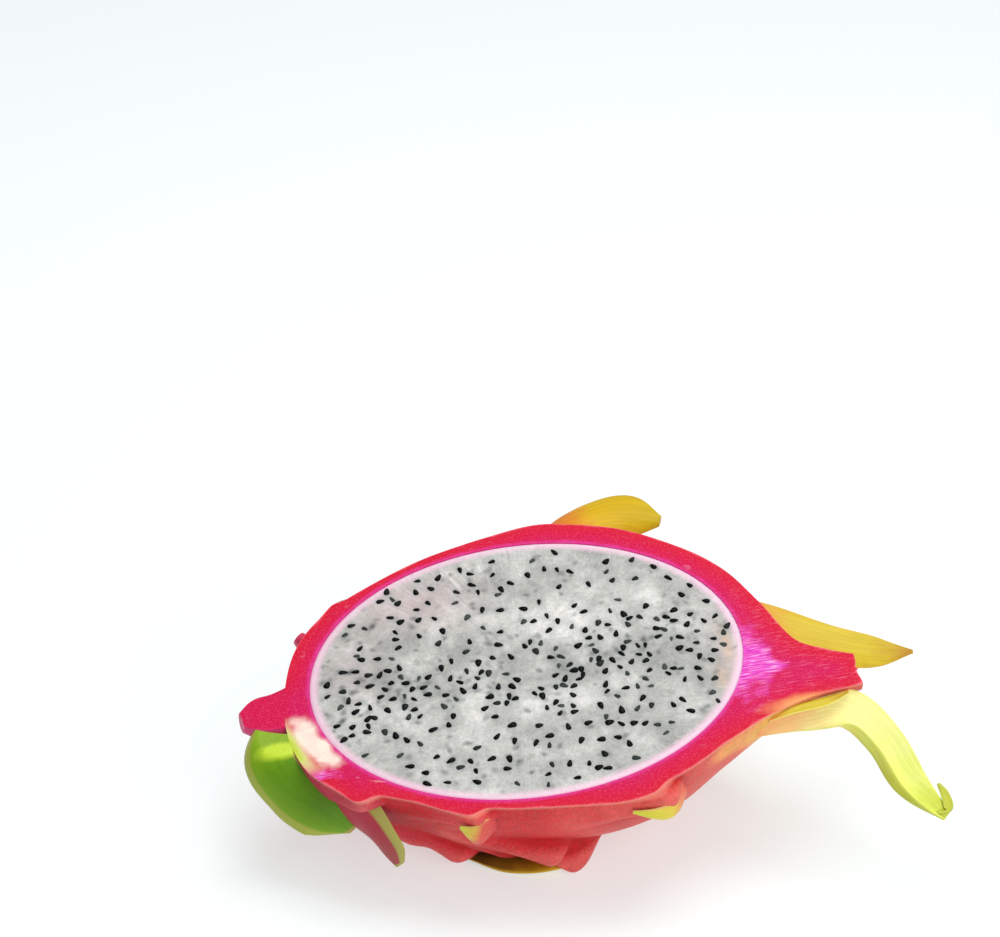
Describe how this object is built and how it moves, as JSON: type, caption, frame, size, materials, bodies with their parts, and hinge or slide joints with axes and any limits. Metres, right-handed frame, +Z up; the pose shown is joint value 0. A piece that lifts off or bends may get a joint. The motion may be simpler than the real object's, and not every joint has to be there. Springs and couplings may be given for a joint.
{
  "type": "dragon fruit half",
  "caption": "White-fleshed dragon fruit cut in half along its length, lying on its back with the seeded cut face up and green-tipped scales on its pink peel.",
  "frame": {"origin": "on the resting surface, in the flat spot under the belly, straight below the middle of the cut pulp", "axes": "+Z up, +X along the fruit from the stem end to the neck of the flower end, -Y towards the side that the cut face leans to"},
  "size_m": [0.1527, 0.0892, 0.0531],
  "materials": {
    "rind": "leathery pink peel, satin, with yellow and green scale tips",
    "flesh": "moist, slightly translucent white pulp with small black seeds"
  },
  "bodies": {
    "root": {"rind": "rind", "flesh": "flesh"}
  },
  "joints": []
}
